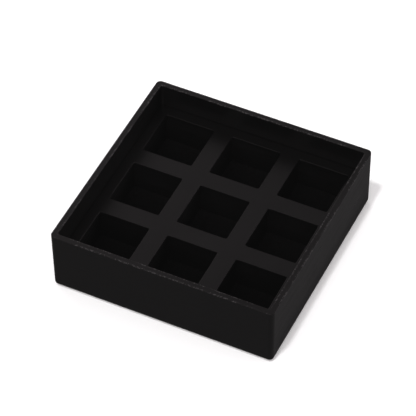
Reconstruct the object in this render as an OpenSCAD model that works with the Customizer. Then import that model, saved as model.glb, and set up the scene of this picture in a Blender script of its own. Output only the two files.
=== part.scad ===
// Coin display tray: a moulded square tray with a lift-out insert of nine square pockets.
// Origin: centre of the footprint, on the surface that the tray stands on. +X right, +Y back, +Z up.

/* [Tray] */
// Outer width and depth of the square tray
tray_w = 120; // [116:0.5:160]
// Height from the table to the rim
tray_h = 36; // [32:0.5:60]
// Thickness of the walls
wall = 3; // [2.5:0.1:4]
// Thickness of the base
base_t = 2; // [1.6:0.1:4]
// Radius of the upright outer corners at the rim
shell_r = 2.5; // [2:0.1:4]
// Distance by which each outer wall leans in between the rim and the base
draft = 0.3; // [0.1:0.05:0.5]
// Radius of the upright inner corners
inner_r = 1.5; // [1:0.1:3]
// Rounding of the two edges of the rim
rim_r = 0.2; // [0.1:0.1:1]

/* [Insert] */
// Depth of the face plate below the rim
recess = 13.8; // [8:0.1:20]
// Thickness of the face plate
plate_t = 2.4; // [1.5:0.1:4]
// Width of one square window in the face plate
window_w = 27.5; // [20:0.5:28]
// Width of the face plate between two windows
bar_w = 10; // [8:0.5:12]
// Radius of the upright corners of a window
window_r = 1; // [0.5:0.1:3]
// Rounding of the top edges of the face plate
edge_r = 0.2; // [0.1:0.1:1]
// Distance by which the face plate stands out over the pocket walls
overhang = 1; // [0.2:0.1:2]
// Gap between the insert and the tray wall on each side
side_gap = 0.25; // [0.1:0.05:1]
// Depth of the slots in the rails that take the ends of the dividers
slot_depth = 1.5; // [0.5:0.1:2.5]

/* [Floor and feet] */
// Thickness of the felt floor liner
liner_t = 0.7; // [0.5:0.1:2]
// Diameter of a foot
foot_d = 10; // [6:0.5:14]
// Thickness of a foot
foot_t = 1.2; // [0.8:0.1:1.4]
// Distance by which a foot stands out under the base
foot_out = 0.5; // [0.2:0.1:0.6]
// Distance from the side of the tray to the centre of a foot
foot_inset = 16; // [10:0.5:30]

/* [Hidden] */
$fn = 64;

// A cutting tool runs past the face it cuts by this much
eps = 0.5;
// The felt is cut a little smaller than the floor of the tray
liner_gap = 0.2;

// How far a wall leans in for each millimetre down from the rim
lean = draft / (tray_h - foot_out);
// Radius of the bottom edge, which runs into the leaning wall and into the round corners
bottom_r = (shell_r - draft) / (1 - lean);

cavity_w = tray_w - 2 * wall;
insert_w = cavity_w - 2 * side_gap;
insert_r = inner_r;
pitch = window_w + bar_w;

floor_z = foot_out + base_t;
insert_z = floor_z + liner_t;
face_z = tray_h - recess;
plate_z = face_z - plate_t;
divider_h = plate_z - insert_z;

// The outer windows end here, measured from the centre of the tray
windows_half = 1.5 * window_w + bar_w;
divider_w = bar_w - 2 * overhang;
rail_w = insert_w / 2 - windows_half - overhang;
// Inner faces of two opposite rails are this far apart
rails_span = insert_w - 2 * rail_w;
divider_l = rails_span + 2 * slot_depth;
divider_c = pitch / 2;

foot_c = tray_w / 2 - foot_inset;

// A square with rounded corners, centred on the origin
module rounded_square(w, r) {
    square([w - 2 * r, w], center = true);
    square([w, w - 2 * r], center = true);
    for (x = [-1, 1], y = [-1, 1])
        translate([x * (w / 2 - r), y * (w / 2 - r)])
            circle(r);
}

// Carries a 2D profile once round a square of width w with corner radius r.
// In the profile x is the distance outward from the corner's centre, and y is the height.
module sweep_round_square(w, r) {
    side = w - 2 * r;
    for (turn = [0 : 3])
        rotate(turn * 90) {
            translate([side / 2, side / 2, 0])
                rotate_extrude(angle = 90)
                    children();
            translate([side / 2, side / 2, 0])
                rotate([90, 0, 0])
                    linear_extrude(side)
                        children();
        }
}

// The waste outside a rounded edge of radius r, for an edge at the profile's origin.
// side is 1 when the waste lies towards +x and -1 towards -x; up is the same in y.
module edge_waste(r, side, up) {
    scale([side, up])
        translate([-r, -r])
            difference() {
                square(r + eps);
                circle(r);
            }
}

// The waste outside an outer wall that leans in towards the base
module lean_waste() {
    above = tray_h + eps;
    below = foot_out - eps;
    polygon([[shell_r + lean * eps, above],
             [shell_r + eps, above],
             [shell_r + eps, below],
             [shell_r - draft - lean * eps, below]]);
}

// The square tray before it is hollowed, with leaning walls and with its outer edges rounded
module shell_block() {
    difference() {
        translate([0, 0, foot_out])
            linear_extrude(tray_h - foot_out)
                rounded_square(tray_w, shell_r);
        sweep_round_square(tray_w, shell_r)
            lean_waste();
        sweep_round_square(tray_w, shell_r)
            translate([shell_r, tray_h])
                edge_waste(rim_r, 1, 1);
        sweep_round_square(tray_w, shell_r)
            translate([bottom_r, foot_out])
                edge_waste(bottom_r, 1, -1);
    }
}

module at_feet() {
    for (x = [-1, 1], y = [-1, 1])
        translate([x * foot_c, y * foot_c, 0])
            children();
}

module tray_shell() {
    color([0.05, 0.05, 0.055])
        difference() {
            shell_block();
            translate([0, 0, floor_z])
                linear_extrude(tray_h - floor_z + eps)
                    rounded_square(cavity_w, inner_r);
            sweep_round_square(cavity_w, inner_r)
                translate([inner_r, tray_h])
                    edge_waste(rim_r, -1, 1);
            at_feet()
                cylinder(h = foot_t, d = foot_d);
        }
}

module floor_liner() {
    color([0.03, 0.03, 0.03])
        translate([0, 0, floor_z])
            linear_extrude(liner_t)
                rounded_square(cavity_w - 2 * liner_gap, inner_r);
}

module at_windows() {
    for (x = [-1 : 1], y = [-1 : 1])
        translate([x * pitch, y * pitch, 0])
            children();
}

module face_plate() {
    color([0.07, 0.07, 0.075])
        difference() {
            translate([0, 0, plate_z])
                linear_extrude(plate_t)
                    rounded_square(insert_w, insert_r);
            sweep_round_square(insert_w, insert_r)
                translate([insert_r, face_z])
                    edge_waste(edge_r, 1, 1);
            at_windows() {
                translate([0, 0, plate_z - eps])
                    linear_extrude(plate_t + 2 * eps)
                        rounded_square(window_w, window_r);
                sweep_round_square(window_w, window_r)
                    translate([window_r, face_z])
                        edge_waste(edge_r, -1, 1);
            }
        }
}

// A strip along X, with its long middle line over the X axis
module strip(length, width) {
    translate([-length / 2, -width / 2, insert_z])
        cube([length, width, divider_h]);
}

// Slots in the inner side of a front rail for the ends of two dividers
module divider_slots() {
    for (x = [-1, 1])
        translate([x * divider_c - divider_w / 2, -rails_span / 2 - slot_depth, insert_z - eps])
            cube([divider_w, slot_depth + eps, divider_h + 2 * eps]);
}

// A rail in the front position; length is its full length along X
module rail(length) {
    color([0.045, 0.045, 0.045])
        difference() {
            translate([0, -(insert_w - rail_w) / 2, 0])
                strip(length, rail_w);
            divider_slots();
        }
}

// The front and back rails run the whole width, with rounded ends that clear the tray's corners
module long_rail() {
    color([0.045, 0.045, 0.045])
        intersection() {
            rail(insert_w);
            translate([0, 0, insert_z - eps])
                linear_extrude(divider_h + 2 * eps)
                    rounded_square(insert_w, insert_r);
        }
}

// A divider along X at distance y from the middle. The lap notches open upward or downward.
module divider(y, notch_up) {
    lap_z = notch_up ? insert_z + divider_h / 2 : insert_z - eps;
    color([0.045, 0.045, 0.045])
        difference() {
            translate([0, y, 0])
                strip(divider_l, divider_w);
            for (x = [-1, 1])
                translate([x * divider_c - divider_w / 2, y - divider_w / 2 - eps, lap_z])
                    cube([divider_w, divider_w + 2 * eps, divider_h / 2 + eps]);
        }
}

module foot(x, y) {
    color([0.02, 0.02, 0.02])
        translate([x * foot_c, y * foot_c, 0])
            cylinder(h = foot_t, d = foot_d);
}

tray_shell();
floor_liner();
face_plate();
long_rail();  // front_rail
rotate(180) long_rail();  // back_rail
rotate(-90) rail(rails_span);  // left_rail
rotate(90) rail(rails_span);  // right_rail
divider(-divider_c, true);  // front_divider
divider(divider_c, true);  // back_divider
rotate(90) divider(divider_c, false);  // left_divider
rotate(90) divider(-divider_c, false);  // right_divider
foot(-1, -1);  // foot_front_left
foot(1, -1);  // foot_front_right
foot(-1, 1);  // foot_back_left
foot(1, 1);  // foot_back_right
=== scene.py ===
"""Looks of the coin display tray: satin black plastic, a felt floor and rubber feet, in a pale studio."""

import math

import bmesh
import bpy
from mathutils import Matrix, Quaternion, Vector, noise


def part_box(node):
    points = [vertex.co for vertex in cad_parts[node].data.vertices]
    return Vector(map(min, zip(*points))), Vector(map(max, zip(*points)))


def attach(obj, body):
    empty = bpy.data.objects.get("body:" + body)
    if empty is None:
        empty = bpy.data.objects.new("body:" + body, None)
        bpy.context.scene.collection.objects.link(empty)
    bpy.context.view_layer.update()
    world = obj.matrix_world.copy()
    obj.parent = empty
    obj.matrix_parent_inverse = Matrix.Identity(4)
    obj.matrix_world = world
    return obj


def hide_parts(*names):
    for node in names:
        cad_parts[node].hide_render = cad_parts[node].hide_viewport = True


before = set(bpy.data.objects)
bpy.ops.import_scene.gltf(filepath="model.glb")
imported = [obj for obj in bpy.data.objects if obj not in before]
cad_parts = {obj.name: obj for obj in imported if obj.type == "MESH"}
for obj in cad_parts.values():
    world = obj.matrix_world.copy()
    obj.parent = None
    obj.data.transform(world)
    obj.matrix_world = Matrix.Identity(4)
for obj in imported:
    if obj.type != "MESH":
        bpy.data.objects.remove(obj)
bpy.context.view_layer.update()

MM = 0.001

# Camera: a long lens from the front right, above the tray, aimed near the middle of the rim
LENS_MM = 230.7
AZIMUTH = math.radians(26.1)
ELEVATION = math.radians(47.2)
DISTANCE = 1.311
ROLL = math.radians(-0.69)
AIM_RIGHT = 2.04 * MM
AIM_BACK = -10.3 * MM

# The white floor and backdrop that the camera sees, and the veil on the film
STAGE_SIZE = 12.0
WHITE_TONE = 0.90
WHITE_GLOW = 0.165
BACKDROP_GLOW = 1.1
VEIL = 0.0025

# The dim table that the tray reflects, just under the floor
TABLE_TONE = 0.10
TABLE_GLOW = 0.026
TABLE_DROP = 0.05 * MM

# The room's tint and its glows. Each glow is its azimuth from the front towards the right, its
# elevation and its reach, all in degrees, and its radiance.
ROOM_TINT = (1.055, 0.955, 0.985)
GLOWS = (
    (205, 45, 45, 0.12),
    (230, 20, 35, 0.8),
    (110, 10, 35, 2.0),
    (-10, 45, 40, 0.6),
    (20, 30, 35, 0.9),
)

# Lamps: a key high over the front, and a wide wash straight overhead
KEY_STRENGTH = 1.5
KEY_FROM = (-0.065, -0.35, 1.0)
KEY_SPREAD = math.radians(5)
WASH_POWER = 37.0
WASH_SIZE = 4.0
WASH_HEIGHT = 1.8

# Plastic, and its level streaks: their height, and their height as a part of their length
PLASTIC_TONE = 0.005
SHELL_ROUGHNESS = 0.32
GRID_ROUGHNESS = 0.44
STREAK_SIZE = 0.9 * MM
STREAK_THIN = 0.03

# The rim's width, and the lighter band along its two edges, partly wear and partly a painted highlight of
# their rounding:
# how far the band is full and where it ends, inwards and downwards, then its tones and its bright spots,
# partly chips and partly painted glints
RIM_WIDTH = 3.0 * MM
EDGE_BAND_IN_FULL = 0.4 * MM
EDGE_BAND_IN_END = 0.9 * MM
EDGE_BAND_DOWN_FULL = 0.1 * MM
EDGE_BAND_DOWN_END = 0.7 * MM
WEAR_AND_HIGHLIGHT_TONE = 0.009
NICK_AND_GLINT_TONE = 0.13
NICK_AND_GLINT_SIZE = 0.7 * MM
NICK_AND_GLINT_GROUP = 9.0 * MM

# Felt: its tone, the spacing of its mesh, the height of its pile, a height that no peak of the pile
# reaches, the width of its soft edge and the radius of its corners
FELT_TONE = 0.008
FELT_STEP = 1.2 * MM
FELT_PILE = 0.06 * MM
FELT_PEAK = 1.2 * FELT_PILE
FELT_EDGE = 0.3 * MM
FELT_CORNER = 1.5 * MM

# Rubber, and the dust on it
RUBBER_TONE = 0.014
DUST_TONE = 0.03


# ---------------------------------------------------------------- shader helpers

def fill(tree, node, inputs):
    """Fills a node's inputs, by name or number, each with a value or with another node's output."""
    for name, value in inputs.items():
        if isinstance(value, bpy.types.NodeSocket):
            tree.links.new(value, node.inputs[name])
        else:
            node.inputs[name].default_value = value


def add(tree, kind, inputs=None, **settings):
    """Adds a node, makes its settings and fills its inputs."""
    node = tree.nodes.new(kind)
    for name, value in settings.items():
        setattr(node, name, value)
    fill(tree, node, inputs or {})
    return node


def math_node(tree, operation, *values):
    return add(tree, "ShaderNodeMath", dict(enumerate(values)), operation=operation).outputs[0]


def ramp(tree, value, low, high, to_low=0.0, to_high=1.0):
    """Carries value smoothly from to_low at low to to_high at high."""
    inputs = dict(enumerate((value, low, high, to_low, to_high)))
    return add(tree, "ShaderNodeMapRange", inputs, interpolation_type="SMOOTHSTEP").outputs[0]


def noise_node(tree, where, size, detail, distortion=0.0):
    """Noise whose features are about size metres across."""
    made = add(tree, "ShaderNodeTexNoise", {
        "Vector": where,
        "Scale": 1.0 / size,
        "Detail": detail,
        "Distortion": distortion,
    })
    return made.outputs["Fac"]


def colour(grey):
    """Turns a grey level into a colour, and leaves another node's output as it is."""
    return grey if isinstance(grey, bpy.types.NodeSocket) else (grey, grey, grey, 1.0)


def mix_grey(tree, factor, low, high):
    """Mixes from low to high, each of them a grey level or another node's colour."""
    made = add(tree, "ShaderNodeMix", {"Factor": factor}, data_type="RGBA")
    first, second = [i for i, socket in enumerate(made.inputs) if socket.type == "RGBA"]
    fill(tree, made, {first: colour(low), second: colour(high)})
    return next(socket for socket in made.outputs if socket.type == "RGBA")


def layered_relief(tree, layers):
    """Lays bumps over each other. A layer is its pattern, its strength and its depth."""
    below = {}
    for pattern, strength, depth in layers:
        inputs = {"Height": pattern, "Strength": strength, "Distance": depth}
        bump = add(tree, "ShaderNodeBump", {**inputs, **below})
        below = {"Normal": bump.outputs["Normal"]}
    return bump.outputs["Normal"]


def new_material(name):
    """A new material, its node tree and its main shader."""
    mat = bpy.data.materials.new(name)
    mat.use_nodes = True
    return mat, mat.node_tree, mat.node_tree.nodes["Principled BSDF"]


def place_on_object(tree):
    """The place of each point on the object, in metres."""
    return add(tree, "ShaderNodeTexCoord").outputs["Object"]


# ---------------------------------------------------------------- materials

def rim_edges(tree, where, box):
    """1 along the outer and inner edges of the rim, falling to 0 where their wear and painted highlight
    end.
    """
    half = box[1][0]
    top = box[1][2]
    x, y, z = add(tree, "ShaderNodeSeparateXYZ", {"Vector": where}).outputs
    from_middle = math_node(tree, "MAXIMUM", math_node(tree, "ABSOLUTE", x), math_node(tree, "ABSOLUTE", y))
    into_rim = math_node(tree, "SUBTRACT", half, from_middle)
    from_centre_line = math_node(tree, "ABSOLUTE", math_node(tree, "SUBTRACT", into_rim, RIM_WIDTH / 2))
    near_edge = ramp(tree, from_centre_line, RIM_WIDTH / 2 - EDGE_BAND_IN_END, RIM_WIDTH / 2 - EDGE_BAND_IN_FULL)
    near_top = ramp(tree, z, top - EDGE_BAND_DOWN_END, top - EDGE_BAND_DOWN_FULL)
    return math_node(tree, "MULTIPLY", near_edge, near_top)


def worn_and_highlit_rim(tree, where, box, base):
    """Lightens base along the rim's edges with wear and a painted highlight, and adds rows of small bright
    spots, partly chips and partly painted glints, that come in groups.
    """
    nick_and_glint_spots = ramp(tree, noise_node(tree, where, size=NICK_AND_GLINT_SIZE, detail=1), 0.50, 0.62)
    groups = ramp(tree, noise_node(tree, where, size=NICK_AND_GLINT_GROUP, detail=1), 0.42, 0.56)
    # The lighter edge tone is partly wear and partly painted highlight. The bright spots are partly chips
    # and partly painted glints.
    worn_and_highlit = mix_grey(tree, math_node(tree, "MULTIPLY", nick_and_glint_spots, groups), WEAR_AND_HIGHLIGHT_TONE, NICK_AND_GLINT_TONE)
    return mix_grey(tree, rim_edges(tree, where, box), base, worn_and_highlit)


def streak_noise(tree, where):
    """Fine level streaks round the upright walls, as a mould or a saw leaves them."""
    squeeze = (STREAK_THIN, STREAK_THIN, 1.0)
    flat = add(tree, "ShaderNodeVectorMath", {0: where, 1: squeeze}, operation="MULTIPLY")
    return noise_node(tree, flat.outputs["Vector"], size=STREAK_SIZE, detail=3)


def plastic(name, roughness, streaks=0.3, rim=None):
    """Moulded plastic: a fine grain, level streaks, slow changes of sheen and faint rubs.

    rim is the box of a piece whose top edges carry wear and a painted highlight.
    """
    mat, tree, shader = new_material(name)
    where = place_on_object(tree)
    slow = noise_node(tree, where, size=22 * MM, detail=3, distortion=0.6)
    rubs = noise_node(tree, where, size=5 * MM, detail=4, distortion=1.5)
    grain = noise_node(tree, where, size=0.35 * MM, detail=3)
    peel = noise_node(tree, where, size=3 * MM, detail=1)
    lines = streak_noise(tree, where)

    base = mix_grey(tree, ramp(tree, slow, 0.3, 0.7), PLASTIC_TONE * 0.9, PLASTIC_TONE * 1.1)
    # The rim's edges get wear and a painted highlight
    if rim is not None:
        base = worn_and_highlit_rim(tree, where, rim, base)
    matt = ramp(tree, slow, 0.25, 0.75, to_low=roughness - 0.02, to_high=roughness + 0.03)
    rubbed = ramp(tree, rubs, 0.58, 0.75, to_low=0.0, to_high=0.05)
    streaked = ramp(tree, lines, 0.35, 0.65, to_low=-0.1 * streaks, to_high=0.1 * streaks)
    relief = (
        (peel, 0.12, 0.02 * MM),
        (lines, streaks, 0.03 * MM),
        (grain, 0.25, 0.01 * MM),
    )
    fill(tree, shader, {
        "Base Color": base,
        "Roughness": math_node(tree, "ADD", math_node(tree, "ADD", matt, rubbed), streaked),
        "Normal": layered_relief(tree, relief),
    })
    return mat


def felt():
    """Black needle felt: no gloss, a soft sheen, and fibres that lie every way."""
    mat, tree, shader = new_material("felt")
    where = place_on_object(tree)
    fibres = noise_node(tree, where, size=0.25 * MM, detail=4, distortion=3.0)
    clumps = noise_node(tree, where, size=1.6 * MM, detail=3, distortion=1.0)
    shade = ramp(tree, math_node(tree, "MULTIPLY", fibres, clumps), 0.1, 0.45)
    fill(tree, shader, {
        "Base Color": mix_grey(tree, shade, FELT_TONE * 0.6, FELT_TONE * 1.5),
        "Roughness": 0.95,
        "Specular IOR Level": 0.1,
        "Sheen Weight": 0.04,
        "Sheen Roughness": 0.6,
        "Normal": layered_relief(tree, [(fibres, 0.6, 0.08 * MM)]),
    })
    return mat


def rubber():
    """Black rubber with a dull, slightly dusty skin."""
    mat, tree, shader = new_material("rubber")
    dust = noise_node(tree, place_on_object(tree), size=1.2 * MM, detail=4)
    fill(tree, shader, {
        "Base Color": mix_grey(tree, ramp(tree, dust, 0.45, 0.7), RUBBER_TONE, DUST_TONE),
        "Roughness": ramp(tree, dust, 0.3, 0.7, to_low=0.6, to_high=0.8),
        "Normal": layered_relief(tree, [(dust, 0.2, 0.02 * MM)]),
    })
    return mat


def give(node, mat):
    """Gives a carried CAD node its material."""
    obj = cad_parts[node]
    obj.data.materials.clear()
    obj.data.materials.append(mat)


# ---------------------------------------------------------------- felt floor liner

def felt_height(x, y):
    """How far the pile stands over or under the felt's mean face."""
    clumps = noise.noise(Vector((x, y, 0.0)) / (2.6 * MM))
    waves = noise.noise(Vector((x, y, 5.0)) / (14 * MM))
    return FELT_PILE * (0.6 * clumps + 0.8 * waves)


def rounded_corner(x, y, half):
    """Draws a point of the square's corner in to the corner's arc."""
    centre = half - FELT_CORNER
    if abs(x) <= centre or abs(y) <= centre:
        return x, y
    away = Vector((abs(x) - centre, abs(y) - centre))
    away = away.normalized() * max(away)
    return math.copysign(centre + away.x, x), math.copysign(centre + away.y, y)


def felt_layer(mesh, half, height_at):
    """Makes rows of points over the square floor, each at the height that height_at gives for it."""
    steps = round(2 * half / FELT_STEP)
    places = [half * (2 * i / steps - 1) for i in range(steps + 1)]
    rows = []
    for across in places:
        row = []
        for along in places:
            x, y = rounded_corner(across, along, half)
            row.append(mesh.verts.new((x, y, height_at(x, y))))
        rows.append(row)
    return rows


def skin_layers(mesh, top, bottom):
    """Makes the faces over the top layer, under the bottom layer and round the four sides."""
    steps = len(top) - 1
    for i in range(steps):
        for j in range(steps):
            mesh.faces.new((top[i][j], top[i + 1][j], top[i + 1][j + 1], top[i][j + 1]))
            mesh.faces.new((bottom[i][j], bottom[i][j + 1], bottom[i + 1][j + 1], bottom[i + 1][j]))
    for k in range(steps):
        mesh.faces.new((top[k][0], bottom[k][0], bottom[k + 1][0], top[k + 1][0]))
        mesh.faces.new((top[k + 1][steps], bottom[k + 1][steps], bottom[k][steps], top[k][steps]))
        mesh.faces.new((top[0][k + 1], bottom[0][k + 1], bottom[0][k], top[0][k]))
        mesh.faces.new((top[steps][k], bottom[steps][k], bottom[steps][k + 1], top[steps][k + 1]))
    bmesh.ops.recalc_face_normals(mesh, faces=mesh.faces)


def felt_liner(mat):
    """One sheet of felt that fills the floor of the tray, with a soft edge and an uneven face."""
    low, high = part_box("floor_liner")
    half = high[0]

    # The mean face lies low enough for every peak to stay inside the CAD solid
    mean_z = high[2] - FELT_PEAK

    def top_height(x, y):
        to_edge = half - max(abs(x), abs(y))
        drop = 0.5 * FELT_EDGE * max(0.0, 1 - to_edge / FELT_EDGE) ** 2
        return mean_z + felt_height(x, y) - drop

    mesh = bmesh.new()
    top = felt_layer(mesh, half, top_height)
    bottom = felt_layer(mesh, half, lambda x, y: low[2])
    skin_layers(mesh, top, bottom)
    data = bpy.data.meshes.new("felt_liner")
    mesh.to_mesh(data)
    mesh.free()
    data.polygons.foreach_set("use_smooth", [True] * len(data.polygons))
    data.materials.append(mat)
    liner = bpy.data.objects.new("felt_liner", data)
    bpy.context.scene.collection.objects.link(liner)
    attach(liner, "tray")
    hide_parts("floor_liner")


# ---------------------------------------------------------------- camera and studio

def direction_from(azimuth, elevation):
    """The direction of a point at azimuth from the front towards the right, and at elevation."""
    return Vector((
        math.sin(azimuth) * math.cos(elevation),
        -math.cos(azimuth) * math.cos(elevation),
        math.sin(elevation),
    ))


def make_camera(rim_z):
    aim = Vector((AIM_RIGHT, AIM_BACK, rim_z))
    back = direction_from(AZIMUTH, ELEVATION)
    data = bpy.data.cameras.new("camera")
    data.lens = LENS_MM
    camera = bpy.data.objects.new("camera", data)
    camera.location = aim + back * DISTANCE
    camera.rotation_mode = "QUATERNION"
    camera.rotation_quaternion = back.to_track_quat("Z", "Y") @ Quaternion((0, 0, 1), ROLL)
    bpy.context.scene.collection.objects.link(camera)
    bpy.context.scene.camera = camera


def set_film():
    """A plain film, with the faint veil that a white room spreads over the darkest tones."""
    view = bpy.context.scene.view_settings
    view.view_transform = "Standard"
    view.use_curve_mapping = True
    view.curve_mapping.black_level = (-VEIL, -VEIL, -VEIL)
    view.curve_mapping.update()


def make_room():
    """The light that the tray sees: a dark room with a few wide soft glows."""
    world = bpy.data.worlds.new("room")
    world.use_nodes = True
    tree = world.node_tree
    looking = add(tree, "ShaderNodeTexCoord").outputs["Generated"]
    level = 0.0
    for azimuth, elevation, reach, radiance in GLOWS:
        centre = direction_from(math.radians(azimuth), math.radians(elevation))
        facing = add(tree, "ShaderNodeVectorMath", {0: looking, 1: centre}, operation="DOT_PRODUCT")
        edge = math.cos(math.radians(reach))
        glow = ramp(tree, facing.outputs["Value"], edge, 1.0, to_high=radiance)
        level = math_node(tree, "ADD", level, glow)
    fill(tree, tree.nodes["Background"], {"Strength": level, "Color": (*ROOM_TINT, 1.0)})
    bpy.context.scene.world = world


def flat_material(name, tone, glow, tint=(1.0, 1.0, 1.0)):
    """A matt surface of one grey tone that also glows."""
    mat, tree, shader = new_material(name)
    fill(tree, shader, {
        "Base Color": colour(tone),
        "Emission Color": (*tint, 1.0),
        "Emission Strength": glow,
        "Roughness": 1.0,
        "Specular IOR Level": 0.0,
    })
    return mat


def clear_from_below(mat):
    """Lets the camera look up through a floor at the underside of what stands on it."""
    tree = mat.node_tree
    solid = tree.nodes["Principled BSDF"].outputs["BSDF"]
    clear = add(tree, "ShaderNodeBsdfTransparent").outputs["BSDF"]
    below = add(tree, "ShaderNodeNewGeometry").outputs["Backfacing"]
    either = add(tree, "ShaderNodeMixShader", {0: below, 1: solid, 2: clear})
    fill(tree, tree.nodes["Material Output"], {"Surface": either.outputs["Shader"]})


def stage_piece(name, mesh, mat):
    """Turns a bmesh into a piece of the stage that throws no shadow."""
    data = bpy.data.meshes.new(name)
    mesh.to_mesh(data)
    mesh.free()
    data.materials.append(mat)
    piece = bpy.data.objects.new(name, data)
    piece.visible_shadow = False
    bpy.context.scene.collection.objects.link(piece)
    return piece


def only_for_camera(piece):
    piece.visible_diffuse = False
    piece.visible_glossy = False


def stage_plane(name, mat):
    mesh = bmesh.new()
    bmesh.ops.create_grid(mesh, x_segments=1, y_segments=1, size=STAGE_SIZE / 2)
    return stage_piece(name, mesh, mat)


def make_stage():
    """A white floor and backdrop that the camera sees, and the dim table that the tray reflects."""
    white_floor = flat_material("white_floor", WHITE_TONE, WHITE_GLOW)
    clear_from_below(white_floor)
    floor = stage_plane("floor", white_floor)
    only_for_camera(floor)

    ball = bmesh.new()
    bmesh.ops.create_uvsphere(ball, u_segments=32, v_segments=16, radius=STAGE_SIZE / 2)
    only_for_camera(stage_piece("backdrop", ball, flat_material("white_backdrop", 0.0, BACKDROP_GLOW)))

    table = stage_plane("table", flat_material("dim_table", TABLE_TONE, TABLE_GLOW, ROOM_TINT))
    table.visible_camera = False
    table.location.z = -TABLE_DROP
    return floor, table


def make_lamp(data, direction, lit):
    """Adds a lamp that shines from direction and lights only the objects in lit; all things block it."""
    lamp = bpy.data.objects.new(data.name, data)
    lamp.rotation_mode = "QUATERNION"
    lamp.rotation_quaternion = Vector(direction).to_track_quat("Z", "Y")
    bpy.context.scene.collection.objects.link(lamp)
    group = bpy.data.collections.new("lit_by_" + data.name)
    for obj in lit:
        group.objects.link(obj)
    lamp.light_linking.receiver_collection = group
    return lamp


def make_lamps(floor, table):
    """The key throws the tray's shadow and the wash is a wide light overhead. The room lights the tray."""
    key = bpy.data.lights.new("key", "SUN")
    key.energy = KEY_STRENGTH
    key.angle = KEY_SPREAD
    make_lamp(key, KEY_FROM, [floor, table])
    wash = bpy.data.lights.new("wash", "AREA")
    wash.energy = WASH_POWER
    wash.size = WASH_SIZE
    make_lamp(wash, (0, 0, 1), [floor]).location.z = WASH_HEIGHT


# ---------------------------------------------------------------- the whole scene

set_film()
shell_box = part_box("tray_shell")
make_camera(shell_box[1][2])
make_room()
make_lamps(*make_stage())

# The shell's rim edges carry wear and a painted highlight
shell_plastic = plastic("shell_plastic", SHELL_ROUGHNESS, rim=shell_box)
face_plastic = plastic("face_plastic", SHELL_ROUGHNESS)
grid_plastic = plastic("grid_plastic", GRID_ROUGHNESS, streaks=0.8)
foot_rubber = rubber()
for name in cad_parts:
    if name == "tray_shell":
        give(name, shell_plastic)
    elif name == "face_plate":
        give(name, face_plastic)
    elif name.startswith("foot"):
        give(name, foot_rubber)
    else:
        give(name, grid_plastic)
felt_liner(felt())
